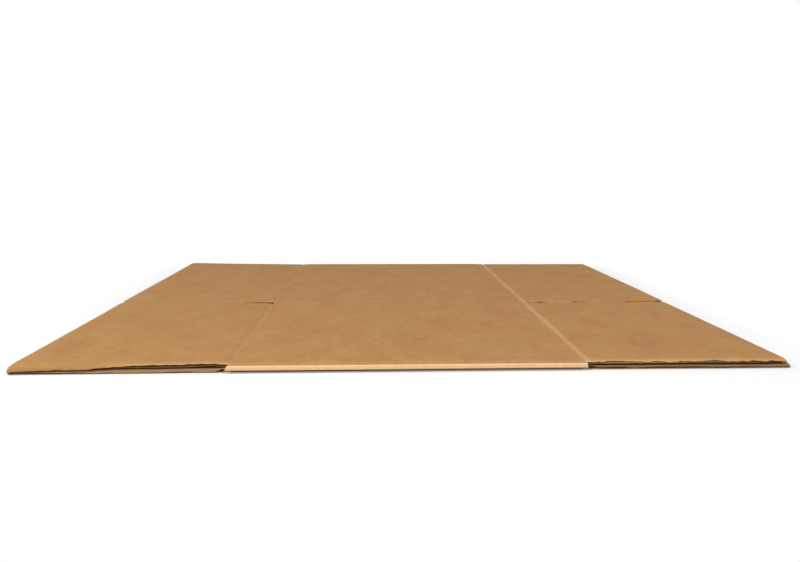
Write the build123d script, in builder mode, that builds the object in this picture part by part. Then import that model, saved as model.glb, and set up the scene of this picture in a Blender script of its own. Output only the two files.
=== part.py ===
from build123d import *
import math
import os

# A corrugated shipping box as it is stored, knocked down flat: one scored, slotted and glued
# sheet, folded twice into a flattened tube. Four panels lie in two layers, with four flaps at
# each end. X runs along the flutes and the box's height, Y across the panels, Z is up.
# The origin is the middle of the footprint, on the floor. All sizes are in millimetres.

# The blank, measured between the middles of its scores
long_panel = 461.0
short_panel = 360.0
panel_height = 313.0
flap_overrun = 2.0  # what a closed flap gains on the middle of the short panel
slot_width = 9.5

# The corrugated board
board = 4.0
liner = 0.35
fluting = 0.3
flute_pitch = 7.8

# The scores, pressed in from the outside and the inside of the board
score_half = 3.0
score_outside = 0.6
score_inside = 1.0

# The two folds and the glued joint
fold_web = 3.0  # board left between a fold's nose and the end of the slit behind it
tab_width = 35.0
tab_caliper = 2.0  # the tab is crushed to half its thickness
tab_seat = 1.4  # how deep the tab is pressed into the panel that it is glued to
tab_clearance = 0.4
tab_inset = 6.0  # from the flap scores to the tab's ends, at its root
tab_taper = 10.0
joint_gap = 3.0

# Heights: the crushed tab between the layers keeps them apart
layer_gap = tab_caliper - tab_seat + tab_clearance
upper_floor = board + layer_gap
stack = 2 * board + layer_gap

# Places along X: the flap scores and the flaps' outer ends
score_x = panel_height / 2
flap_length = short_panel / 2 + flap_overrun

# Places along Y: the short panel is in front on the upper layer and behind on the lower one
flat_length = long_panel + short_panel
front_fold = -flat_length / 2
back_fold = flat_length / 2
upper_slot = front_fold + short_panel
lower_slot = front_fold + long_panel

# Where each flap starts and ends along Y, for each layer
upper_flaps = {
    "front": (front_fold + slot_width / 2, upper_slot - slot_width / 2),
    "back": (upper_slot + slot_width / 2, back_fold - slot_width / 2),
}
lower_flaps = {
    "front": (front_fold + slot_width / 2, lower_slot - slot_width / 2),
    "back": (lower_slot + slot_width / 2, back_fold - slot_width / 2),
}
sides = {"left": -1, "right": 1}

# The flutes are triangular channels between the liners, half of them point down, half up
flute_height = board - 2 * liner
flute_slope = math.atan2(flute_height, flute_pitch / 2)
flute_inset = fluting / 2 / math.sin(flute_slope)
flute_base = flute_pitch / 2 - flute_inset
flute_apex = flute_base * math.tan(flute_slope)


def fluted_board(start, front, back, floor):
    """Section of a flap across its flutes, which its front and back cut edges lay open."""
    first = math.floor(front / flute_pitch)
    last = math.ceil(back / flute_pitch)
    crests = [flute_pitch * n for n in range(first, last + 1)]
    with BuildSketch(Plane.YZ.offset(start)) as section:
        with Locations(((front + back) / 2, floor + board / 2)):
            Rectangle(back - front, board)
        with Locations(*[(y, floor + liner) for y in crests]):
            Polygon((-flute_base, 0), (flute_base, 0), (0, flute_apex), align=None, mode=Mode.SUBTRACT)
        with Locations(*[(y + flute_pitch / 2, floor + board - liner) for y in crests]):
            Polygon((-flute_base, 0), (0, -flute_apex), (flute_base, 0), align=None, mode=Mode.SUBTRACT)
    return section.sketch


def flap_score(side, front, back, floor, low_press, high_press):
    """The flap's half of its score: the web in the middle, rising to the full board."""
    web_x = side * score_x
    full_x = side * (score_x + score_half)
    with BuildSketch(Plane.XZ.offset(-back)) as score:
        Polygon(
            (web_x, floor + low_press),
            (full_x, floor),
            (full_x, floor + board),
            (web_x, floor + board - high_press),
            align=None,
        )
    return score.sketch


def panel_score(side, back, floor, low_press, high_press):
    """What the score presses out of the panel, below and above the web."""
    web_x = side * score_x
    full_x = side * (score_x - score_half)
    ceiling = floor + board
    with BuildSketch(Plane.XZ.offset(-back)) as grooves:
        Polygon((full_x, floor), (web_x, floor), (web_x, floor + low_press), align=None)
        Polygon((full_x, ceiling), (web_x, ceiling), (web_x, ceiling - high_press), align=None)
    return grooves.sketch


# The folded sheet: both layers of panels, the two folds, the glued joint and the lower flaps
with BuildPart() as folded_sheet:
    # The flattened tube, round at its folds, with a slit between the layers
    with BuildSketch(Plane.YZ.offset(-score_x)) as tube:
        with Locations((0, stack / 2)):
            SlotOverall(flat_length, stack)
            SlotOverall(flat_length - 2 * fold_web, layer_gap, mode=Mode.SUBTRACT)
        # The score between the upper panels, which stays unfolded
        with Locations((upper_slot, stack)):
            Polygon((-score_half, 0), (0, -score_outside), (score_half, 0), align=None, mode=Mode.SUBTRACT)
        with Locations((upper_slot, upper_floor)):
            Polygon((-score_half, 0), (score_half, 0), (0, score_inside), align=None, mode=Mode.SUBTRACT)
        # The joint between the lower panels, and the crushed seat of the tab behind it
        with Locations((lower_slot, board / 2)):
            Rectangle(joint_gap, board, mode=Mode.SUBTRACT)
        with Locations((lower_slot, board)):
            Rectangle(
                joint_gap / 2 + tab_width,
                tab_seat,
                align=(Align.MIN, Align.MAX),
                mode=Mode.SUBTRACT,
            )
    extrude(amount=panel_height)
    # The tab, an extension of the long lower panel, tapered at both ends
    with BuildSketch(Plane.XY.offset(board - tab_seat)) as tab:
        Polygon(
            (-score_x + tab_inset, lower_slot - joint_gap / 2),
            (score_x - tab_inset, lower_slot - joint_gap / 2),
            (score_x - tab_inset - tab_taper, lower_slot + joint_gap / 2 + tab_width),
            (-score_x + tab_inset + tab_taper, lower_slot + joint_gap / 2 + tab_width),
            align=None,
        )
    extrude(amount=tab_caliper)
    # The panels' half of the flap scores
    for side in sides.values():
        for front, back in upper_flaps.values():
            pressed = panel_score(side, back, upper_floor, score_inside, score_outside)
            extrude(pressed, amount=back - front, mode=Mode.SUBTRACT)
        for front, back in lower_flaps.values():
            pressed = panel_score(side, back, 0, score_outside, score_inside)
            extrude(pressed, amount=back - front, mode=Mode.SUBTRACT)
    # The lower flaps, with their half of the scores
    for side in sides.values():
        for front, back in lower_flaps.values():
            score = flap_score(side, front, back, 0, score_outside, score_inside)
            extrude(score, amount=back - front)
            section = fluted_board(side * (score_x + score_half), front, back, 0)
            extrude(section, amount=side * (flap_length - score_half))
folded_sheet.part.label = "folded_sheet"

os.makedirs("parts", exist_ok=True)
export_step(folded_sheet.part, "parts/folded_sheet.step")

# The upper flaps, each of which folds up about the web of its score
for side_name, side in sides.items():
    for row_name, (front, back) in upper_flaps.items():
        with BuildPart() as upper_flap:
            score = flap_score(side, front, back, upper_floor, score_inside, score_outside)
            extrude(score, amount=back - front)
            section = fluted_board(side * (score_x + score_half), front, back, upper_floor)
            extrude(section, amount=side * (flap_length - score_half))
        name = f"{row_name}_{side_name}_flap"
        upper_flap.part.label = name
        export_step(upper_flap.part, f"parts/{name}.step")
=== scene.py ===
import math

import bmesh
import bpy
from bpy.props import FloatProperty, FloatVectorProperty, IntProperty, PointerProperty
from bpy.types import NodeSocket, Operator, Panel, PropertyGroup
from mathutils import Matrix, Vector, noise


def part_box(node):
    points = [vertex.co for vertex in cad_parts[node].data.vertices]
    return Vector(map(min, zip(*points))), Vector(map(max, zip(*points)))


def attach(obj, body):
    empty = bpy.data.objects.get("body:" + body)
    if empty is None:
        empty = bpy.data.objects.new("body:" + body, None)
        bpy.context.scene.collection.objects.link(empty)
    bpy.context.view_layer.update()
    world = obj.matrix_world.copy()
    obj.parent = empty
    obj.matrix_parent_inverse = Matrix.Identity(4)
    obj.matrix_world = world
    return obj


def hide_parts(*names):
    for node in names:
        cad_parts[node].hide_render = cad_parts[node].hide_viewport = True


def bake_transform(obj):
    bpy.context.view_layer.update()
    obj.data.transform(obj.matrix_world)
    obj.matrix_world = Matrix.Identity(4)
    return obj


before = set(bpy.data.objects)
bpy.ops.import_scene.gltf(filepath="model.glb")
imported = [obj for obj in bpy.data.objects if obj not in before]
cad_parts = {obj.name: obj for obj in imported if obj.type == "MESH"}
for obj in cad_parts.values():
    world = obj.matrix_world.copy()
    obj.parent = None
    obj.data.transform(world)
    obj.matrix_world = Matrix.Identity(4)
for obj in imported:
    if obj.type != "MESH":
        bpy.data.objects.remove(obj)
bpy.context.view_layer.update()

bl_info = {
    "name": "Flattened cardboard box",
    "version": (1, 0, 0),
    "blender": (4, 5, 0),
    "location": "3D View > Sidebar > Flat box",
    "description": "The papers, flutes, scores and cut edges of a corrugated box that lies folded flat",
    "category": "Object",
}

# The box lies in two layers of corrugated board. X runs along the flutes, from the left flaps to the
# right ones, Y runs across the panels from the front fold to the back fold, Z is up. In metres.
MM = 0.001
TINY = 0.02 * MM
sides = {"left": -1, "right": 1}

# Places that the frame gives
sheet_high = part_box("folded_sheet")[1]
front_low, front_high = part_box("front_left_flap")
back_low, back_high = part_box("back_left_flap")
score_x = -front_high.x
flap_end = -front_low.x
fold_y = sheet_high.y
stack = sheet_high.z
board = front_high.z - front_low.z
upper_slot = (back_low.y + front_high.y) / 2
lower_slot = -upper_slot


def linear(colour):
    """The sRGB hex of a colour as the linear red, green, blue and alpha that Blender's sockets take."""
    parts = [int(colour[n:n + 2], 16) / 255 for n in (1, 3, 5)]
    return [p / 12.92 if p <= 0.04045 else ((p + 0.055) / 1.055) ** 2.4 for p in parts] + [1.0]


def size(name, description, millimetres):
    """A length that the user can change."""
    return FloatProperty(name=name, description=description, default=millimetres * MM, unit="LENGTH")


def colour(name, description, default):
    """A colour that the user can change."""
    return FloatVectorProperty(
        name=name,
        description=description,
        default=linear(default)[:3],
        size=3,
        subtype="COLOR",
        min=0.0,
        max=1.0,
    )


def power(name, description, watts):
    """A lamp's power that the user can change."""
    return FloatProperty(name=name, description=description, default=watts, unit="POWER")


class BoardSizes(PropertyGroup):
    """Sizes of the corrugated board, its scores and its cut edges."""

    liner: size("Liner", "Thickness of the board's two outer papers", 0.35)
    fluting: size("Fluting", "Thickness of the wavy paper between the liners", 0.28)
    flute_pitch: size("Flute pitch", "From one crest of the fluting to the next", 7.8)
    score_half: size("Score half width", "From the middle of a score to its side", 3.0)
    score_outside: size("Score depth outside", "How deep a score is pressed in from the outside", 0.45)
    score_inside: size("Score depth inside", "How deep a score is pressed in from the inside", 1.0)
    edge_crush: size("Edge crush", "How far a knife presses a liner in at a cut edge", 0.6)
    crush_reach: size("Crush reach", "How far from a cut edge the crush fades", 1.5)
    edge_roll: size("Edge roll", "How far the outside face rolls down towards a cut edge", 0.7)
    roll_reach: size("Roll reach", "How far from a cut edge the roll fades", 7.0)
    fold_reach: size("Fold reach", "How far from a cut a liner is bent that is pressed down over it", 2.8)
    lap: size("Lap", "How far the outer liner hangs down over a cut that is crushed shut", 4.2)
    fray: size("Fray", "How far a cut edge of paper is ragged", 0.3)
    corner: size("Corner wear", "Radius to which the outer corners of the flaps are worn", 1.8)
    joint_gap: size("Joint gap", "Between the two panels that the glue tab joins", 3.0)
    tab_width: size("Tab width", "How far the glue tab reaches under the next panel", 35.0)
    tab_caliper: size("Tab caliper", "Thickness of the crushed glue tab", 2.0)
    tab_inset: size("Tab inset", "From the flap scores to the root of the tab", 6.0)
    tab_taper: size("Tab taper", "How much each end of the tab slants inwards", 10.0)
    paper_step: size("Paper step", "Spacing of a paper's mesh lines away from edges and scores", 9.0)
    flute_steps: IntProperty(
        name="Steps in a flute",
        description="Mesh lines in one wave of the fluting",
        default=12,
        min=6,
        max=24,
    )
    flute_skew: FloatProperty(
        name="Flute skew",
        description="How far the flutes are out of square with the slots",
        default=math.radians(0.7),
        subtype="ANGLE",
    )


class PaperColours(PropertyGroup):
    """Colours of the papers of the board, of what changes them, and of the floor."""

    outside: colour("Outside", "Kraft liner on the outside of the box", "#AD7E49")
    inside: colour("Inside", "Liner on the inside of the box", "#A48460")
    fluting: colour("Fluting", "Recycled paper of the flutes", "#8E6536")
    # Pale rubbed fibres; the same colour is also painted on the noses, scores and front edges as highlight
    rubbed_and_painted_light: colour("Rubbed", "Fibres that show where the liner is bent or rubbed", "#F0C394")
    # Dust; the same colour is also painted in the cut edges and under a hanging liner as shade
    dirt: colour("Dirt", "Dust in the cut edges", "#5F4F3A")
    floor: colour("Floor", "Pale floor under the box", "#E2E2E2")


class StageLight(PropertyGroup):
    """Strength of the lamps and of the light from all round."""

    key: power("Key", "Power of the lamp in front on the left", 63.0)
    fill: power("Fill", "Power of the lamp in front on the right", 14.0)
    ambient: FloatProperty(name="Ambient", description="Strength of the light from all round", default=0.43)


def sizes():
    """The sizes as the user has set them."""
    return bpy.context.scene.flat_box_sizes


def colours():
    """The colours as the user has set them, with alpha."""
    chosen = bpy.context.scene.flat_box_colours
    return {name: [*getattr(chosen, name), 1.0] for name in PaperColours.__annotations__}


# Shapes of the board


def sign(value):
    """-1 for the left side or the front, 1 for the right side or the back."""
    return math.copysign(1, value)


def smooth(value, start, end):
    """0 before start, 1 after end, and smooth between them. End may be the lower one."""
    share = min(max((value - start) / (end - start), 0.0), 1.0)
    return share * share * (3 - 2 * share)


def fade(distance, reach):
    """1 at a place, and less and less further from it. Reach is where about a third is left."""
    return math.exp(-max(distance, 0) / reach)


def wander(x, y, reach, which):
    """A smooth uneven value from -1 to 1 that changes over that reach. Which picks one of many."""
    return noise.noise(Vector((x / reach, y / reach, which)))


# A knife crushes the papers unevenly along a cut: in waves and small dents, each with its strength and
# length, and less so at the flaps' outer ends, where it cuts across the flutes
cut_waves = (1.4, 24 * MM)
cut_dents = (0.9, 6 * MM)
end_roughness = 0.3
end_reach = 8 * MM


def uneven(x, y, which):
    """How many times as far as usual a knife has crushed the paper at a point."""
    rough = end_roughness + (1 - end_roughness) * smooth(flap_end - abs(x), 0, end_reach)
    marks = [strength * wander(x, y, length, which) for strength, length in (cut_waves, cut_dents)]
    return 1 + rough * sum(marks)


# Beside its groove a score pushes up a low lip, this share of its depth
lip = 0.14


def valley(distance, half):
    """Share of a score's depth: 1 in its middle, below 0 on the low lips beside it."""
    reach = abs(distance) / half
    if reach < 1:
        return 0.5 + 0.5 * math.cos(math.pi * reach)
    if reach < 2:
        return -lip * math.sin(math.pi * (reach - 1))
    return 0.0


# Board is never quite flat: how far the box stands off the floor, and over what length that changes
off_floor = 0.3 * MM
off_floor_length = 170 * MM


def off_level(x, y):
    """How far the flat box stands off the floor at a point."""
    return off_floor * (1 + wander(x, y, off_floor_length, 2.3))


# From where to where beside its score a flap's edge changes to what it is at its outer corner: how it
# is pressed, and how it is crushed shut
press_change = (90 * MM, 155 * MM)
shut_change = (60 * MM, 140 * MM)


class Edge:
    """A flap's edge that is cut along the flutes. In millimetres: how far back from the cut the outer
    liner, the inner liner and the fluting end, and how far the inner liner is pressed down over the cut
    near the score and at the outer corner. From 0 to 1: how far dust and painted shade darken the
    inner liner there, and how far the outer corner is crushed shut. Crush is how many times as far as
    usual the knife has crushed it."""

    def __init__(self, outer, inner, fluting, pressed, dust_and_shade, closed=0.0, crush=1.0):
        self.outer = outer * MM
        self.inner = inner * MM
        self.fluting = fluting * MM
        self.pressed = [depth * MM for depth in pressed]
        self.dust_and_shade = dust_and_shade
        self.closed = closed
        self.crush = crush

    def press(self, x):
        """How far the inner liner is pressed down at that distance from the middle of the box."""
        near, far = self.pressed
        return near + (far - near) * smooth(x - score_x, *press_change)

    def shut(self, x):
        """How far the edge is crushed shut at that distance from the middle of the box."""
        return self.closed * smooth(x - score_x, *shut_change)


# In the two folds the board is pressed thin. The upper layer runs nearly level into the nose of a
# fold, and the lower layer comes up to it
nose_reach = 2.2 * MM
nose_half = 2.2 * MM
nose_middle = 4.7 * MM
nose_web = 2.0 * MM
nose_start = fold_y - nose_reach
nose_run = 2 * (nose_reach + nose_half)
past_nose = nose_start + nose_run

# Outwards from the flap scores the form of a fold fades, and the pressing of the cut edges begins.
# Beside the slots a flap score starts, and beside the flap scores the score between the panels ends
fold_fade = 15 * MM
press_start = 12 * MM
score_start = 0.8 * MM
score_fade = 9 * MM

# How much of a knife's crush reaches the inside face, how far apart the liners stay at a cut, and how far
# the outer one hangs past the inner one where the cut is shut
inside_crush = 0.5
least_gap = 0.4 * MM
overhang = 1.6 * MM

# A liner that is pressed down over a cut ripples about this share of its depth, by this much of it and
# over this length
ripple_middle = 0.9
ripple_strength = 0.4
ripple_length = 22 * MM


class Layer:
    """One of the two layers of board: the height of its outside face, the way that it faces, and where
    its slot is. Approach and bend say over what length and how sharply it turns to the folds. Crush and
    roll say how far its outside face gives way at a cut edge. Cuts picks the unevenness of its outside
    and its inside face, and wear is how much its outside is rubbed at the flaps' front edges and painted
    lighter there as highlight."""

    def __init__(self, name, outside, outwards, slot, approach, bend, crush, roll, cuts, wear, flaps, edges):
        self.name = name
        self.outside = outside
        self.outwards = outwards
        self.slot = slot
        self.approach = approach
        self.bend = bend
        self.crush = crush
        self.roll = roll
        self.cuts = cuts
        self.wear = wear
        self.flaps = flaps
        self.edges = edges

    def from_cut(self, y):
        """How far y is from the slots and folds, where the panels' ends are cut and not scored."""
        flap_sides = next((row for row in self.flaps.values() if row[0] < y < row[1]), (y, y))
        return min(y - flap_sides[0], flap_sides[1] - y)

    def into_fold(self, x, y):
        """How far the board has turned to a fold: 0 on the panels, 1 where the nose starts."""
        turned = min(max((abs(y) - nose_start + self.approach) / self.approach, 0.0), 1.0)
        return turned ** self.bend * (1 - smooth(abs(x), score_x, score_x + fold_fade))

    def scores(self, x, y, beside):
        """How deep scores press a point in from the outside and from the inside. Beside is how far it is
        from the slots and folds."""
        s = sizes()
        flap_score = valley(abs(x) - score_x, s.score_half) * smooth(beside, 0, score_start)
        depth = s.score_outside * flap_score
        press = s.score_inside * flap_score
        if self is upper and abs(x) < score_x:
            ending = smooth(abs(x), score_x - score_fade, score_x)
            between = valley(y - self.slot, s.score_half) * (1 - ending)
            depth = max(depth, s.score_outside * between, key=abs)
            press = max(press, s.score_inside * between, key=abs)
        return depth, press

    def faces(self, x, y, cut):
        """Heights of the outside and the inside face at a point. Cut is how far the nearest cut edge is."""
        s = sizes()
        beside = self.from_cut(y)
        edge = self.edges[sign(x)]
        depth, press = self.scores(x, y, beside)
        crushed = s.edge_crush * edge.crush * fade(cut, s.crush_reach)
        rolled = s.edge_roll * fade(cut, s.roll_reach)
        outside_cuts, inside_cuts = self.cuts
        depth += self.crush * crushed * uneven(x, y, outside_cuts) + self.roll * rolled
        press += inside_crush * crushed * uneven(x, y, inside_cuts)
        if self is lower and abs(x) < score_x:
            rise, seat = tab_seat(x, y)
            depth += rise
            press += seat
        if abs(x) > score_x:
            # Cut along the flutes, the board has no strength at its edge
            bent = fade(beside, s.fold_reach)
            ripple = ripple_middle + ripple_strength * wander(x, y, ripple_length, 4.6)
            press += edge.press(abs(x)) * ripple * bent * smooth(abs(x), score_x, score_x + press_start)
            depth += s.lap * edge.shut(abs(x)) * bent
            most = board - least_gap + overhang * edge.shut(abs(x))
            squeeze = min(1.0, most / max(depth + press, TINY))
            depth *= squeeze
            press *= squeeze
        floor = off_level(x, y)
        outside = self.outside + floor - self.outwards * depth
        inside = self.outside + floor - self.outwards * (board - press)
        turned = self.into_fold(x, y)
        outside += turned * (floor + nose_middle + self.outwards * nose_half - outside)
        inside += turned * (floor + nose_middle + self.outwards * (nose_half - nose_web) - inside)
        return outside, inside


upper = Layer(
    name="upper",
    outside=stack,
    outwards=1,
    slot=upper_slot,
    approach=6 * MM,
    bend=2.2,
    crush=1.0,
    roll=1.0,
    cuts=(1, 3),
    # The wear of the front edges is partly rubbing, partly painted highlight
    wear=0.35,
    flaps={"front": (front_low.y, front_high.y), "back": (back_low.y, back_high.y)},
    # Each inner liner's rim is darkened partly by dust, partly by painted shade
    edges={
        -1: Edge(0, 1.6, 2.4, (0, 0), dust_and_shade=0.65, closed=0.9),
        1: Edge(0, 0.6, 0.2, (-0.6, -0.8), dust_and_shade=0.9, closed=0.1, crush=2.2),
    },
)
lower = Layer(
    name="lower",
    outside=0.0,
    outwards=-1,
    slot=lower_slot,
    approach=5.5 * MM,
    bend=1.2,
    crush=0.5,
    roll=0.1,
    cuts=(2, -3),
    wear=0.0,
    flaps={"front": (-back_high.y, -back_low.y), "back": (-front_high.y, -front_low.y)},
    # Each inner liner's rim is darkened partly by dust, partly by painted shade
    edges={
        -1: Edge(1.2, 0, 2.4, (3.2, 2.4), dust_and_shade=0.45),
        1: Edge(0.4, 0, 0.3, (2.0, 2.2), dust_and_shade=0.85),
    },
)


# The share of the glue tab's thickness that is pressed into the next panel, and how gradually the board
# comes down to the tab at its root and into its seat at its ends and its outer side
tab_sunk = 0.7
root_ramp = 3.5 * MM
seat_outside = 1 * MM
seat_inside = 2 * MM
seat_ramp = 1.5 * MM


def tab_half(y):
    """Half the length of the glue tab, which tapers from its root."""
    s = sizes()
    return score_x - s.tab_inset - s.tab_taper * min(max((y - lower_slot) / s.tab_width, 0.0), 1.0)


def tab_underside():
    """Height of the glue tab's underside."""
    return board - tab_sunk * sizes().tab_caliper


def tab_seat(x, y):
    """How far the outside face rises to the tab at its root, and how deep the tab sits in the next panel."""
    s = sizes()
    beside = smooth(abs(x), tab_half(y) + seat_outside, tab_half(y) - seat_inside)
    root = lower_slot - s.joint_gap / 2
    reach = root + s.joint_gap + s.tab_width
    if y < lower_slot:
        crushed = smooth(y, root - root_ramp, root) * beside
        lifted = tab_underside() + s.tab_caliper - board
        return tab_underside() * crushed, -lifted * crushed
    return 0.0, (board - tab_underside()) * smooth(y, reach + seat_ramp, reach - seat_ramp) * beside


# At its ends a fold springs open a little, more so at the left one, and it wavers between them
nose_end = 3 * MM
nose_flare = 0.6 * MM
nose_splay = {-1: 3 * MM, 1: 1 * MM}
nose_waver = 0.15 * MM
nose_waver_length = 50 * MM
squareness = 0.42


def rounded(value):
    """Sine or cosine of a circle's angle, changed so that the circle becomes a rounded square."""
    return math.copysign(abs(value) ** squareness, value)


def nose(x, way, turn, share):
    """A point of the board in a fold, at an angle from the upper layer round to the lower one."""
    end = fade(score_x - abs(x), nose_end)
    splay = nose_splay[sign(x)] * end * (1 - math.cos(turn)) / 2
    waver = nose_waver * wander(x, way, nose_waver_length, 7.1)
    inside = Vector((nose_reach - nose_web, nose_half - nose_web))
    outside = Vector((nose_reach + nose_flare * end + waver, nose_half))
    reach, rise = inside.lerp(outside, share)
    y = way * (nose_start + reach * rounded(math.sin(turn)))
    z = nose_middle + rise * rounded(math.cos(turn))
    return Vector((x + math.copysign(splay, x), y, z + off_level(x, y)))


def panel_cut(layer, x, y):
    """How far a point of the panels is from the nearest cut edge."""
    cut = math.hypot(score_x - abs(x), layer.from_cut(y))
    if layer is lower:
        cut = min(cut, abs(y - layer.slot) - sizes().joint_gap / 2)
    return cut


def round_the_fold(y, way):
    """Where a point of the lower layer is on the way round the tube, past the back or the front fold.
    The way round starts in the middle of the upper layer, and the front is below 0."""
    return way * (2 * nose_start + nose_run) - y


def on_layer(v):
    """The layer and the y of a place on the way round the tube that is not in a fold."""
    if abs(v) <= nose_start:
        return upper, v
    return lower, round_the_fold(v, sign(v))


def panels(x, v, share):
    """A point of the four panels. v is the place on the way round the tube, and share is 0 on the
    inside face of the board and 1 on its outside face."""
    run = abs(v) - nose_start
    if 0 < run < nose_run:
        return nose(x, sign(v), math.pi * run / nose_run, share)
    layer, y = on_layer(v)
    outside, inside = layer.faces(x, y, panel_cut(layer, x, y))
    return Vector((x, y, inside + share * (outside - inside)))


# How far the upper flaps have warped off the lower ones, in mm: beside the score on the front side, at
# its outer end, in the middle of the back side and at its outer end
warps = {
    ("front", -1): (0.7, -0.9, 1.6, 2.6),
    ("back", -1): (0.0, 1.6, 0.6, 3.2),
    ("front", 1): (0.0, 0.5, 0.5, 0.65),
    ("back", 1): (0.0, 1.3, 0.1, 0.3),
}

# Where the front side bulges beside its score, how wide the bulge is and where it has started, as shares
# of the flap's length
bulge_middle = 0.09
bulge_width = 0.07
bulge_start = 0.06

# The layers are folded a little out of square, so some flaps stand out at their ends. In mm: how far at
# the front side, how far at the back side, and how far the front side's outer end is turned forward
skews = {
    ("upper", "front", -1): (2.5, 1.2, 3.0),
    ("upper", "back", -1): (3.6, 6.5, 0.0),
    ("upper", "front", 1): (1.5, 0.2, 1.6),
    ("lower", "front", -1): (2.5, 1.0, 2.0),
    ("lower", "front", 1): (4.8, 0.0, 1.6),
}

# The two corners in front have been knocked down: how much, as a share, and over how many mm. A full
# knock crushes the upper layer by the first depth and the lower one by the second
knocks = {("front", -1): (0.6, 5), ("front", 1): (0.5, 5)}
upper_knock = 1.3 * MM
lower_knock = 1.0 * MM

# Corners at the slots are worn this share as much as those at the folds, and between the liners the
# fluting is crushed unevenly by up to a quarter of this
slot_corner = 0.4
flute_crumple = 1.8 * MM
crumple_length = 4 * MM


def warp(row, side, across, along):
    """Lift of an upper flap at a share of the way from its score and from its front side."""
    front_root, front_end, back_middle, back_end = warps[row, side]
    bulge = math.exp(-((across - bulge_middle) / bulge_width) ** 2) * smooth(across, 0, bulge_start)
    at_front = front_root * bulge + front_end * across ** 2
    at_back = back_middle * 4 * across * (1 - across) + back_end * across ** 2
    return (at_front + (at_back - at_front) * along ** 1.5) * MM


def blunted(row, x, y, front, back):
    """Carries a point near an outer corner of a flap inwards, so that the corner becomes round."""
    for edge, way, at_fold in ((front, 1, row == "front"), (back, -1, row == "back")):
        radius = sizes().corner * (1.0 if at_fold else slot_corner)
        out = (x - flap_end) / radius + 1
        beside = way * (edge - y) / radius + 1
        if out > 0 and beside > 0:
            round_x = flap_end + radius * (out * math.sqrt(1 - beside ** 2 / 2) - 1)
            round_y = edge - way * radius * (beside * math.sqrt(1 - out ** 2 / 2) - 1)
            return round_x, round_y
    return x, y


def flap(layer, row, side, x, y, share):
    """A point of a flap. x is measured from the middle of the box, towards that side."""
    front, back = layer.flaps[row]
    cut = min(y - front, back - y, flap_end - x)
    x, y = blunted(row, x, y, front, back)
    outside, inside = layer.faces(side * x, y, cut)
    across = (x - score_x) / (flap_end - score_x)
    along = (y - front) / (back - front)
    knocked = 0.0
    if (row, side) in knocks:
        amount, reach = knocks[row, side]
        knocked = amount * fade(math.hypot(flap_end - x, y - front), reach * MM)
    if layer is upper:
        # A knocked corner of the upper layer is crushed, and goes down with the lower one
        outside -= upper_knock * knocked
        lift = warp(row, side, across, along) - upper_knock * knocked
    else:
        inside -= lower_knock * knocked
        lift = 0.0
    out_front, out_back, forward = skews.get((layer.name, row, side), (0, 0, 0))
    out = across * (out_front + (out_back - out_front) * along) * MM
    y -= across * (1 - along) * forward * MM
    crumpled = flute_crumple * share * (1 - share) * wander(x, y, crumple_length, 9.2)
    return Vector((side * (x + out), y, inside + share * (outside - inside) + lift + crumpled))


# Mesh lines, in millimetres from what they run beside: a cut edge, the plain lines of the fluting along
# it, the end of a panel's score, the glued joint, the noses on either layer, and the ends of the flutes
# that show in the panels
cut_lines = (0, 0.7, 1.5, 2.6, 4.2, 7, 11)
strip_lines = (16, 22)
slot_lines = (0, 0.8, 2, 4)
joint_lines = (0, 0.7, 1.5, 2.5, 3.5, 5)
upper_nose_lines = (0.5, 1, 1.7, 2.5, 3.3, 4.2, 5.1, 6)
lower_nose_lines = (0.6, 1.3, 2, 2.8, 3.6, 4.5, 5.5)
flute_end_lines = (0, 0.8, 2, 4, 8, 14, 20)

# Spacing of mesh lines across a score, how many there are round a nose, where a flap's plain lines start
# beside its sides, and how near to each other two lines are made one
score_step = 0.6 * MM
nose_steps = 18
plain_start = 14 * MM
least_step = 0.1 * MM


def steps(start, end, spacing):
    """Places from start to end, about that far apart."""
    count = max(1, round(abs(end - start) / spacing))
    return [start + (end - start) * n / count for n in range(count + 1)]


def lines_from(place, way, distances):
    """Places at those distances in millimetres from a place, to one side of it."""
    return [place + way * away * MM for away in distances]


def score_lines(middle, way):
    """Mesh lines from the middle of a score to the end of the lip on one side of it."""
    return steps(middle, middle + way * 2 * sizes().score_half, score_step)


def lines(*runs):
    """Runs of places as one rising list, without those that meet."""
    places = sorted(place for run in runs for place in run)
    kept = places[:1]
    for place in places:
        if place - kept[-1] > least_step:
            kept.append(place)
    return kept


# Papers

OUTSIDE, INSIDE, FLUTING = range(3)

# How many points a ragged side gets between two mesh lines
ragged_points = 5
tab_points = 3

# A ragged side shows fibres all along it and shallow tears: how long they are, and how deep a tear is as
# a share of the fray
fibre_length = 2.1 * MM
tear_length = 20 * MM
tear_depth = 0.35


def fray_side(verts, axis, edge, way):
    """Makes a cut side of flat paper ragged, always inwards, which is the way from the edge."""
    depth = sizes().fray
    for vert in verts:
        if abs(vert.co[axis] - edge) < TINY:
            along = vert.co[1 - axis]
            fibres = 0.5 + 0.5 * wander(along, edge, fibre_length, 3.1)
            tears = tear_depth * wander(along, edge, tear_length, 8.4)
            vert.co[axis] += way * depth * max(fibres + tears, 0.0)


def add_object(name, data):
    """Adds an object to the scene."""
    added = bpy.data.objects.new(name, data)
    bpy.context.scene.collection.objects.link(added)
    return added


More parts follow.
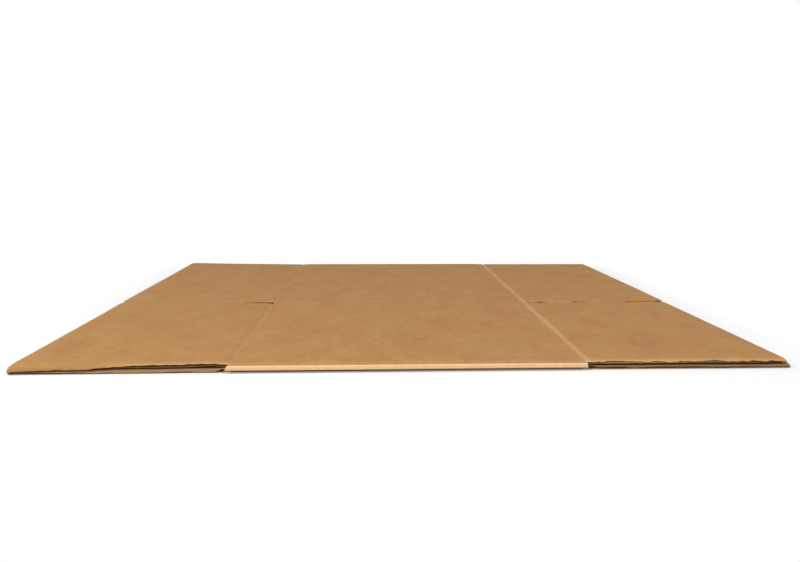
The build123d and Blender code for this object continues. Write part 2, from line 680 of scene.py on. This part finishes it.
class Paper:
    """The mesh of one piece, to which sheets of paper are added one by one."""

    def __init__(self, name):
        self.name = name
        self.mesh = bmesh.new()
        # How much each point is rubbed and painted lighter as highlight, or dusty and painted darker as
        # shade
        self.rubbed_and_painted_light = self.mesh.verts.layers.float.new("rubbed_and_painted_light")

    def add(self, across, along, place, thickness, material, rub=None, cuts=()):
        """Adds a sheet: a flat grid on those lines, ragged at its cut sides, put in place and given its
        thickness. Each cut is (axis, edge, way, number of points between two mesh lines)."""
        mesh = self.mesh
        first_vert = len(mesh.verts)
        first_face = len(mesh.faces)
        bmesh.ops.create_grid(mesh, x_segments=len(across) - 1, y_segments=len(along) - 1, size=0.5)
        mesh.verts.ensure_lookup_table()
        mesh.verts.index_update()
        for vert in mesh.verts[first_vert:]:
            column = round((vert.co.x + 0.5) * (len(across) - 1))
            row = round((vert.co.y + 0.5) * (len(along) - 1))
            vert.co = (across[column], along[row], 0)
        for axis, edge, way, points in cuts:
            side = [
                e for e in mesh.edges
                if e.is_boundary
                and all(v.index >= first_vert and abs(v.co[axis] - edge) < TINY for v in e.verts)
            ]
            if points:
                bmesh.ops.subdivide_edges(mesh, edges=side, cuts=points)
            mesh.verts.index_update()
            mesh.verts.ensure_lookup_table()
            fray_side(mesh.verts[first_vert:], axis, edge, way)
        for vert in mesh.verts[first_vert:]:
            if rub:
                vert[self.rubbed_and_painted_light] = rub(vert.co.x, vert.co.y)
            vert.co = place(vert.co.x, vert.co.y)
        mesh.faces.ensure_lookup_table()
        faces = mesh.faces[first_face:]
        for face in faces:
            face.material_index = material
        mesh.normal_update()
        bmesh.ops.solidify(mesh, geom=faces, thickness=thickness)

    def finish(self):
        """The finished piece as an object with the three papers' materials."""
        bmesh.ops.recalc_face_normals(self.mesh, faces=self.mesh.faces[:])
        data = bpy.data.meshes.new(self.name)
        self.mesh.to_mesh(data)
        self.mesh.free()
        data.shade_smooth()
        data.set_sharp_from_angle(angle=math.radians(50))
        for make in (outside_liner, inside_liner, fluting_paper):
            data.materials.append(make())
        piece = add_object(self.name, data)
        return piece


def wave(x, y, start):
    """Share of the board's thickness at which the fluting runs, with a crest at start beside the left
    score. The flutes are a little out of square with the slots."""
    s = sizes()
    slack = (s.liner + s.fluting) / board
    turn = math.tau * (y - start + math.tan(s.flute_skew) * (x + score_x)) / s.flute_pitch
    return 0.5 + (0.5 - slack) * math.cos(turn)


# How much the flap scores are rubbed and painted with a highlight, strong on the right ones, which catch
# the light, and faint on the left ones, and how wide. How much the flaps' other cut edges and the panels'
# are rubbed and painted lighter
score_rub_and_highlight = {-1: 0.03, 1: 0.3}
score_highlight_reach = 3.1 * MM
flap_wear = 0.08
panel_wear = 0.12

# The outer liner is painted darker as shade where it hangs down over a cut that is crushed shut
lap_shade = 1.1
lap_shade_reach = 2.0 * MM


# A cut edge is rubbed and painted with a highlight most at the cut itself, and painted lighter by a
# share of that further in, as highlight where the edge rolls down towards the light
rub_reach = 1.4 * MM
rolled_edge_highlight = 0.3
rolled_edge_highlight_reach = 7 * MM


def rub_and_highlight_beside(cut, wear):
    """How much a cut edge is rubbed and painted lighter as highlight at a distance from it."""
    return wear * (fade(cut, rub_reach) + rolled_edge_highlight * fade(cut, rolled_edge_highlight_reach))


def rub_and_highlight_of_score(distance, side):
    """How much a score is rubbed and painted lighter as highlight at a distance from its middle."""
    return score_rub_and_highlight[side] * math.exp(-(distance / score_highlight_reach) ** 2)


def add_flap_liners(paper, layer, row, side):
    """Adds the outside liner of a flap, and the inside one, which is darkened along the front by dust and
    painted shade.
    """
    s = sizes()
    front, back = layer.flaps[row]
    edge = layer.edges[side]
    across = lines(
        score_lines(score_x, 1),
        steps(score_x + 2 * s.score_half, flap_end - cut_lines[-1] * MM, s.paper_step),
        lines_from(flap_end, -1, cut_lines),
    )

    def rub(x, y, wear):
        beside_front = rub_and_highlight_beside(y - front, wear if row == "front" else flap_wear)
        if wear > 0:
            # Where the outer liner hangs over a cut crushed shut, it is painted darker there as shade
            beside_front -= lap_shade * edge.shut(x) * fade(y - front, lap_shade_reach)
        beside_others = rub_and_highlight_beside(min(back - y, flap_end - x), flap_wear)
        return beside_front + beside_others + rub_and_highlight_of_score(x - score_x, side)

    # Outside liner: rubbed and painted highlight along its front. Inside liner: dust and painted shade there
    papers = ((1, 1, OUTSIDE, edge.outer, layer.wear), (0, -1, INSIDE, edge.inner, -edge.dust_and_shade))
    for share, way, material, set_back, wear in papers:
        first = front + set_back
        last = back - set_back
        slot_cuts = [(1, first, 1, ragged_points), (1, last, -1, ragged_points)]
        along = lines(
            lines_from(first, 1, cut_lines),
            steps(front + plain_start, back - plain_start, s.paper_step),
            lines_from(last, -1, cut_lines),
        )
        paper.add(
            across,
            along,
            lambda x, y: flap(layer, row, side, x, y, share),
            way * side * layer.outwards * s.liner,
            material,
            rub=lambda x, y: rub(x, y, wear),
            cuts=[(0, flap_end, -1, ragged_points), *slot_cuts],
        )


def add_flap_fluting(paper, layer, row, side):
    """Adds what shows of a flap's fluting: a strip along its outer end and one along each slot or fold."""
    s = sizes()
    front, back = layer.flaps[row]
    edge = layer.edges[side]
    first = front + edge.fluting
    last = back - edge.fluting
    step = s.flute_pitch / s.flute_steps
    thickness = side * layer.outwards * s.fluting
    plain, strip_end = lines_from(flap_end, -1, strip_lines)
    flutes_in_strip = 1.75
    near_score = score_x + 6 * MM
    near_step = 1.5 * MM

    def place(x, y):
        return flap(layer, row, side, x, y, wave(side * x, y, front))

    slot_cuts = [(1, first, 1, ragged_points), (1, last, -1, ragged_points)]
    at_end = lines([strip_end, plain], lines_from(flap_end, -1, cut_lines))
    at_sides = lines(steps(score_x, near_score, near_step), steps(near_score, strip_end, s.paper_step))
    strip = flutes_in_strip * s.flute_pitch
    strips = (
        (at_end, first, last, [(0, flap_end, -1, 0), *slot_cuts]),
        (at_sides, first, first + strip, slot_cuts[:1]),
        (at_sides, last - strip, last, slot_cuts[1:]),
    )
    for across, start, end, cuts in strips:
        paper.add(across, steps(start, end, step), place, thickness, FLUTING, cuts=cuts)


def flap_piece(name, layer, row, side):
    """One flap as a finished piece."""
    paper = Paper(name)
    add_flap_liners(paper, layer, row, side)
    add_flap_fluting(paper, layer, row, side)
    return paper.finish()


def panel_lines(layer, nose_lines):
    """Mesh lines across the panels of a layer, beside the ends of its flap scores and towards its folds."""
    places = []
    for flap_sides in layer.flaps.values():
        for edge in flap_sides:
            places += lines_from(edge, -1, slot_lines) + lines_from(edge, 1, slot_lines)
    for way in (-1, 1):
        places += lines_from(way * nose_start, -way, nose_lines)
    return [y for y in places if abs(y) <= nose_start]


def add_panel_liners(paper, joint_front, joint_back):
    """Adds the two liners, wrapped round the four panels from one side of the glued joint to the other."""
    s = sizes()
    plain_end = score_x - 2 * s.score_half
    near_low = panel_lines(lower, lower_nose_lines)
    near_low += lines_from(joint_front, -1, joint_lines) + lines_from(joint_back, 1, joint_lines)
    noses = steps(nose_start, past_nose, nose_run / nose_steps)
    across = lines(
        score_lines(-score_x, 1),
        steps(-plain_end, plain_end, s.paper_step),
        score_lines(score_x, -1),
    )
    around = lines(
        steps(round_the_fold(joint_front, -1), -past_nose, s.paper_step),
        [round_the_fold(y, -1) for y in near_low if y <= joint_front],
        [-v for v in noses],
        steps(-nose_start, nose_start, s.paper_step),
        panel_lines(upper, upper_nose_lines),
        score_lines(upper.slot, -1),
        score_lines(upper.slot, 1),
        noses,
        [round_the_fold(y, 1) for y in near_low if y >= joint_back],
        steps(past_nose, round_the_fold(joint_back, 1), s.paper_step),
    )

    def rub(x, v):
        # Round a nose the liner is painted pale all over: partly rubbed, stretched fibres, partly painted
        # highlight
        run = abs(v) - nose_start
        if 0 < run < nose_run:
            rim = 0.2 * nose_run
            return smooth(run, 0, rim) * smooth(run, nose_run, nose_run - rim)
        layer, y = on_layer(v)
        between = rub_and_highlight_of_score(y - upper.slot, -1) if layer is upper else 0.0
        at_cut = rub_and_highlight_beside(panel_cut(layer, x, y), panel_wear)
        return max(between, rub_and_highlight_of_score(score_x - abs(x), sign(x)), at_cut)

    for share, way, material in ((1, 1, OUTSIDE), (0, -1, INSIDE)):
        paper.add(across, around, lambda x, v: panels(x, v, share), way * s.liner, material, rub=rub)


def add_panel_fluting(paper, joint_front, joint_back):
    """Adds the panels' fluting, which shows only at the ends of the slots, of the folds and of the joint."""
    s = sizes()
    at_slot = 12 * MM
    at_nose = 10 * MM
    at_joint = 14 * MM
    windows = (
        (upper.slot - at_slot, upper.slot + at_slot),
        (nose_start - at_nose, past_nose + at_nose),
        (-past_nose - at_nose, -nose_start + at_nose),
        (round_the_fold(joint_front, -1), round_the_fold(joint_front - at_joint, -1)),
        (round_the_fold(joint_back + at_joint, 1), round_the_fold(joint_back, 1)),
    )
    for side in sides.values():
        for start, end in windows:
            paper.add(
                lines(lines_from(side * score_x, -side, flute_end_lines)),
                steps(start, end, s.flute_pitch / s.flute_steps),
                lambda x, v: panels(x, v, wave(x, v, start)),
                s.fluting,
                FLUTING,
            )


def add_tab(paper):
    """Adds the crushed glue tab, in which the flutes are left as a low washboard."""
    s = sizes()
    washboard = 0.08 * MM
    clearance = 0.1 * MM
    past_root = 1 * MM
    steps_across = 50
    step_along = 1.3 * MM
    root = lower_slot - s.joint_gap / 2
    end = root + s.joint_gap + s.tab_width

    def place(u, y):
        x = u * tab_half(y)
        crest = washboard * math.cos(math.tau * y / s.flute_pitch)
        z = tab_underside() + s.tab_caliper - clearance + crest
        return Vector((x, y, z + off_level(x, y)))

    paper.add(
        steps(-1, 1, 2 / steps_across),
        steps(root - past_root, end, step_along),
        place,
        s.tab_caliper - 2 * clearance,
        INSIDE,
        cuts=[(1, end, -1, tab_points)],
    )


# Finishes

MIX_A, MIX_B, MIX_RESULT = 6, 7, 2

# Tints of kraft paper: where its fibres are redder, more golden or paler, and specks of bark
red_kraft = linear("#9E6238")
gold_kraft = linear("#B2924E")
pale_kraft = linear("#CDA274")
bark = linear("#4A3018")

# Streaks of fibres, in millimetres. Real fibres are 0.03 mm wide and 3 mm long, too fine to show
streak_width = 0.8
streak_length = 6

# How high the fibres stand, and how high the flutes' ribs do and how dark they are on a usual liner
fibre_height = 0.05 * MM
rib_height = 0.03 * MM
rib_tint = 0.02


def add_node(tree, kind, inputs=None, **settings):
    """Adds a node with its settings. Each input is a value for its socket, or the socket that feeds it."""
    added = tree.nodes.new(kind)
    for name, value in settings.items():
        setattr(added, name, value)
    for socket, value in (inputs or {}).items():
        if isinstance(value, NodeSocket):
            tree.links.new(value, added.inputs[socket])
        else:
            added.inputs[socket].default_value = value
    return added


def new_material(name):
    """An empty material with its node tree."""
    material = bpy.data.materials.new(name)
    material.use_nodes = True
    material.node_tree.nodes.clear()
    return material, material.node_tree


def paper_material(name, colour_name, cloud, speck, washboard, roughness):
    """Paper made of brown fibres: cloudy where they lie thicker, streaked the way the machine ran. Cloud
    and speck say how strong its tints and its specks are, and washboard how far the flutes show."""
    found = bpy.data.materials.get(name)
    if found:
        return found
    material, tree = new_material(name)
    chosen = colours()
    place = add_node(tree, "ShaderNodeTexCoord").outputs["Object"]
    # The fibres lie along Y, across the flutes, and thicker and thinner places are drawn out the same
    # way, to twice their width
    streaked, drawn_out = (
        add_node(tree, "ShaderNodeMapping", {"Vector": place, "Scale": (1, share, 1)}).outputs["Vector"]
        for share in (streak_width / streak_length, 1 / 2)
    )
    # Each pattern: its place, the size of its features in mm, its detail and its roughness
    patterns = {
        "red cloud": (drawn_out, 42, 2, 0.5),
        "gold cloud": (drawn_out, 28, 2, 0.5),
        "fine cloud": (drawn_out, 7, 3, 0.5),
        "streak": (streaked, streak_width, 3, 0.6),
        "specks": (place, 1.1, 1, 0.5),
    }
    shown = {}
    for pattern, (where, millimetres, detail, rough) in patterns.items():
        inputs = {"Vector": where, "Scale": 1 / (millimetres * MM), "Detail": detail, "Roughness": rough}
        shown[pattern] = add_node(tree, "ShaderNodeTexNoise", inputs).outputs["Fac"]
    # The flutes show through the liner as low ribs at their pitch. Blender's bands repeat each 2 pi / 20
    shown["ribs"] = add_node(
        tree,
        "ShaderNodeTexWave",
        {"Vector": place, "Scale": math.tau / 20 / sizes().flute_pitch, "Distortion": 0.4, "Detail": 0.0},
        wave_type="BANDS",
        bands_direction="Y",
    ).outputs["Fac"]
    # Rubbed places, painted highlight and painted shade are a little patchy
    inputs = {"Value": shown["fine cloud"], "From Min": 0.25, "From Max": 0.65, "To Min": 0.85, "To Max": 1}
    patchy = add_node(tree, "ShaderNodeMapRange", inputs).outputs["Result"]
    wear_and_painted_light = add_node(tree, "ShaderNodeAttribute", attribute_name="rubbed_and_painted_light").outputs["Fac"]
    shown["wear"] = add_node(tree, "ShaderNodeMath", {0: wear_and_painted_light, 1: patchy}, operation="MULTIPLY").outputs[0]
    # What tints the base colour: its pattern, from which value to which it comes in, how strong it gets
    # and its colour. Wear above 0 shows the pale inner fibres and painted highlight, and wear below 0 is a
    # cut edge's dust and painted shade
    tints = (
        ("red cloud", 0.4, 0.65, 1.6 * cloud, red_kraft),
        ("gold cloud", 0.4, 0.65, 1.6 * cloud, gold_kraft),
        ("fine cloud", 0.35, 0.7, 1.0 * cloud, pale_kraft),
        ("streak", 0.4, 0.75, 0.8 * cloud, pale_kraft),
        ("specks", 0.7, 0.78, speck, bark),
        ("ribs", 0, 1, rib_tint * washboard, bark),
        ("wear", 0, 1, 1, chosen["rubbed_and_painted_light"]),
        ("wear", 0, -1, 1, chosen["dirt"]),
    )
    tint = chosen[colour_name]
    for pattern, start, end, strength, over in tints:
        inputs = {"Value": shown[pattern], "From Min": start, "From Max": end, "To Max": strength}
        share = add_node(tree, "ShaderNodeMapRange", inputs).outputs["Result"]
        mix = add_node(tree, "ShaderNodeMix", {0: share, MIX_A: tint, MIX_B: over}, data_type="RGBA")
        tint = mix.outputs[MIX_RESULT]
    ribs_bump = add_node(
        tree,
        "ShaderNodeBump",
        {"Height": shown["ribs"], "Strength": 0.5, "Distance": rib_height * washboard},
    ).outputs["Normal"]
    fibres = add_node(
        tree,
        "ShaderNodeBump",
        {"Height": shown["streak"], "Normal": ribs_bump, "Strength": 0.5, "Distance": fibre_height},
    ).outputs["Normal"]
    surface = add_node(
        tree,
        "ShaderNodeBsdfPrincipled",
        {
            "Base Color": tint,
            "Normal": fibres,
            "Roughness": roughness,
            "IOR": 1.45,
            "Specular IOR Level": 0.15,
        },
    )
    add_node(tree, "ShaderNodeOutputMaterial", {"Surface": surface.outputs[0]})
    return material


def outside_liner():
    """Kraft linerboard, pressed smooth on the paper machine: an even golden brown with a faint sheen."""
    return paper_material(
        "kraft_linerboard", "outside", cloud=0.16, speck=0.35, washboard=1.0, roughness=0.78
    )


def inside_liner():
    """Test linerboard of recycled fibre: greyer, with more specks, and fully matt."""
    return paper_material(
        "test_linerboard", "inside", cloud=0.22, speck=0.5, washboard=1.4, roughness=0.88
    )


def fluting_paper():
    """Corrugating medium, steamed and pressed to waves: dull greyish brown."""
    return paper_material(
        "corrugating_medium", "fluting", cloud=0.25, speck=0.5, washboard=0.0, roughness=0.92
    )


# Stage

# The floor glows a little to the eye, and turns fully white between these distances from the box. The
# box itself gets only a darker floor's light from below, so that its underside stays in shade
floor_radius = 4.0
floor_glow = 0.22
white_start = 5 * MM
white_end = 60 * MM
floor_below = linear("#ABABAB")
white = linear("#FFFFFF")

# The lamps, in metres
key_place = Vector((-1.5, -1.9, 1.6))
key_width = 1.2
fill_place = Vector((1.8, -1.4, 1.4))
fill_width = 1.4

# The camera that took the photograph, as fitted to the box's corners, folds and slot. The photograph's
# width, focal length and middle are in pixels of it
photo_width = 800
photo_focal = 913
photo_middle = 444
camera_place = Vector((-0.028, -1.1885, 0.177))
look_down = math.radians(7.07)
look_right = math.radians(4.21)
camera_roll = math.radians(0.40)


def white_to_the_eye(tree):
    """1 for rays from the camera, a gloss or a clear surface, which see the backdrop white."""
    path = add_node(tree, "ShaderNodeLightPath").outputs
    seen = path["Is Camera Ray"]
    for ray in ("Is Glossy Ray", "Is Transmission Ray"):
        seen = add_node(tree, "ShaderNodeMath", {0: seen, 1: path[ray]}, operation="MAXIMUM").outputs[0]
    return seen


def floor_material():
    """Plain matt paper backdrop: it takes the box's shadow and turns white to the eye away from it."""
    material, tree = new_material("paper_backdrop")
    place = add_node(tree, "ShaderNodeTexCoord").outputs["Object"]
    # How far a point of the floor is from the flat box
    aside = add_node(tree, "ShaderNodeVectorMath", {0: place}, operation="ABSOLUTE").outputs[0]
    past = add_node(tree, "ShaderNodeVectorMath", {0: aside, 1: (flap_end, fold_y, 0)}, operation="SUBTRACT")
    past = add_node(tree, "ShaderNodeVectorMath", {0: past.outputs[0], 1: (0, 0, 0)}, operation="MAXIMUM")
    away = add_node(tree, "ShaderNodeVectorMath", {0: past.outputs[0]}, operation="LENGTH").outputs["Value"]
    inputs = {"Value": away, "From Min": white_start, "From Max": white_end}
    whitened = add_node(tree, "ShaderNodeMapRange", inputs).outputs["Result"]
    seen = white_to_the_eye(tree)
    below = add_node(tree, "ShaderNodeBsdfDiffuse", {"Color": floor_below})
    pale = add_node(tree, "ShaderNodeBsdfDiffuse", {"Color": colours()["floor"]})
    glow = add_node(tree, "ShaderNodeEmission", {"Color": white, "Strength": floor_glow})
    near = add_node(tree, "ShaderNodeAddShader", {0: pale.outputs[0], 1: glow.outputs[0]})
    plain = add_node(tree, "ShaderNodeEmission", {"Color": white, "Strength": 1.0})
    faded = add_node(tree, "ShaderNodeMixShader", {0: whitened, 1: near.outputs[0], 2: plain.outputs[0]})
    both = add_node(tree, "ShaderNodeMixShader", {0: seen, 1: below.outputs[0], 2: faded.outputs[0]})
    add_node(tree, "ShaderNodeOutputMaterial", {"Surface": both.outputs[0]})
    return material


def add_floor():
    """Adds the floor under the box."""
    mesh = bmesh.new()
    bmesh.ops.create_circle(mesh, cap_ends=True, segments=96, radius=floor_radius)
    data = bpy.data.meshes.new("floor")
    mesh.to_mesh(data)
    mesh.free()
    data.materials.append(floor_material())
    add_object("floor", data)


def add_lamp(name, power, place, width):
    """Adds a square soft lamp that looks at the middle of the box."""
    lamp = bpy.data.lights.new(name, "AREA")
    lamp.energy = power
    lamp.size = width
    aim = (Vector((0, 0, stack)) - place).to_track_quat("-Z", "Y")
    add_object(name, lamp).matrix_world = Matrix.Translation(place) @ aim.to_matrix().to_4x4()


def add_camera():
    """Adds the camera that took the photograph."""
    lens = bpy.data.cameras.new("photo_camera")
    lens.sensor_width = 36
    lens.lens = lens.sensor_width * photo_focal / photo_width
    lens.shift_x = (photo_width / 2 - photo_middle) / photo_width
    camera = add_object("photo_camera", lens)
    turn = Matrix.Rotation(-look_right, 4, "Z") @ Matrix.Rotation(math.pi / 2 - look_down, 4, "X")
    camera.matrix_world = Matrix.Translation(camera_place) @ turn @ Matrix.Rotation(camera_roll, 4, "Z")
    bpy.context.scene.camera = camera


def add_world(strength):
    """Adds light from all round, and white behind the box."""
    world = bpy.data.worlds.new("studio")
    world.use_nodes = True
    tree = world.node_tree
    tree.nodes.clear()
    light = add_node(tree, "ShaderNodeBackground", {"Color": white, "Strength": strength})
    backdrop = add_node(tree, "ShaderNodeBackground", {"Color": white, "Strength": 1.0})
    seen = white_to_the_eye(tree)
    both = add_node(tree, "ShaderNodeMixShader", {0: seen, 1: light.outputs[0], 2: backdrop.outputs[0]})
    add_node(tree, "ShaderNodeOutputWorld", {"Surface": both.outputs[0]})
    bpy.context.scene.world = world


class FLATBOX_OT_panels(Operator):
    """Make the four panels, wrapped round the flattened tube"""

    bl_idname = "flat_box.panels"
    bl_label = "Panels"

    def execute(self, context):
        paper = Paper("panel_board")
        joint_front = lower_slot - sizes().joint_gap / 2
        joint_back = lower_slot + sizes().joint_gap / 2
        add_panel_liners(paper, joint_front, joint_back)
        add_panel_fluting(paper, joint_front, joint_back)
        piece = paper.finish()
        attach(piece, "sheet")
        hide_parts("folded_sheet")
        return {"FINISHED"}


class FLATBOX_OT_glue_tab(Operator):
    """Make the crushed tab that joins the panels"""

    bl_idname = "flat_box.glue_tab"
    bl_label = "Glue tab"

    def execute(self, context):
        paper = Paper("glue_tab")
        add_tab(paper)
        piece = paper.finish()
        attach(piece, "sheet")
        return {"FINISHED"}


class FLATBOX_OT_lower_flaps(Operator):
    """Make the four flaps of the lower layer, which lie still"""

    bl_idname = "flat_box.lower_flaps"
    bl_label = "Lower flaps"

    def execute(self, context):
        for side_name, side in sides.items():
            for row in lower.flaps:
                piece = flap_piece(f"lower_{row}_{side_name}_board", lower, row, side)
                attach(piece, "sheet")
        return {"FINISHED"}


class FLATBOX_OT_upper_flaps(Operator):
    """Make the four flaps of the upper layer"""

    bl_idname = "flat_box.upper_flaps"
    bl_label = "Upper flaps"

    def execute(self, context):
        for side_name, side in sides.items():
            for row in upper.flaps:
                piece = flap_piece(f"{row}_{side_name}_board", upper, row, side)
                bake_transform(piece)
                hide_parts(f"{row}_{side_name}_flap")
        return {"FINISHED"}


class FLATBOX_OT_stage(Operator):
    """Make the floor, the lamps, the white surroundings and the camera"""

    bl_idname = "flat_box.stage"
    bl_label = "Stage"

    def execute(self, context):
        light = context.scene.flat_box_light
        add_floor()
        add_lamp("key_lamp", light.key, key_place, key_width)
        add_lamp("fill_lamp", light.fill, fill_place, fill_width)
        add_world(light.ambient)
        add_camera()
        context.scene.view_settings.view_transform = "Standard"
        return {"FINISHED"}


class FLATBOX_PT_sidebar(Panel):
    """Lists the pieces of the flat box, and its sizes, colours and lights"""

    bl_idname = "FLATBOX_PT_sidebar"
    bl_label = "Flat box"
    bl_space_type = "VIEW_3D"
    bl_region_type = "UI"
    bl_category = "Flat box"

    def draw(self, context):
        for operator in operators:
            self.layout.operator(operator.bl_idname)
        for name, group in settings.items():
            for prop in group.__annotations__:
                self.layout.prop(getattr(context.scene, name), prop)


operators = (
    FLATBOX_OT_stage,
    FLATBOX_OT_panels,
    FLATBOX_OT_glue_tab,
    FLATBOX_OT_lower_flaps,
    FLATBOX_OT_upper_flaps,
)
settings = {
    "flat_box_sizes": BoardSizes,
    "flat_box_colours": PaperColours,
    "flat_box_light": StageLight,
}


def register():
    for group in settings.values():
        bpy.utils.register_class(group)
    for name, group in settings.items():
        setattr(bpy.types.Scene, name, PointerProperty(type=group))
    for operator in operators:
        bpy.utils.register_class(operator)
    bpy.utils.register_class(FLATBOX_PT_sidebar)


def unregister():
    bpy.utils.unregister_class(FLATBOX_PT_sidebar)
    for operator in reversed(operators):
        bpy.utils.unregister_class(operator)
    for name in settings:
        delattr(bpy.types.Scene, name)
    for group in reversed(settings.values()):
        bpy.utils.unregister_class(group)


def main():
    """Makes the stage and every piece."""
    register()
    bpy.ops.flat_box.stage()
    bpy.ops.flat_box.panels()
    bpy.ops.flat_box.glue_tab()
    bpy.ops.flat_box.lower_flaps()
    bpy.ops.flat_box.upper_flaps()


if __name__ == "__main__":
    main()
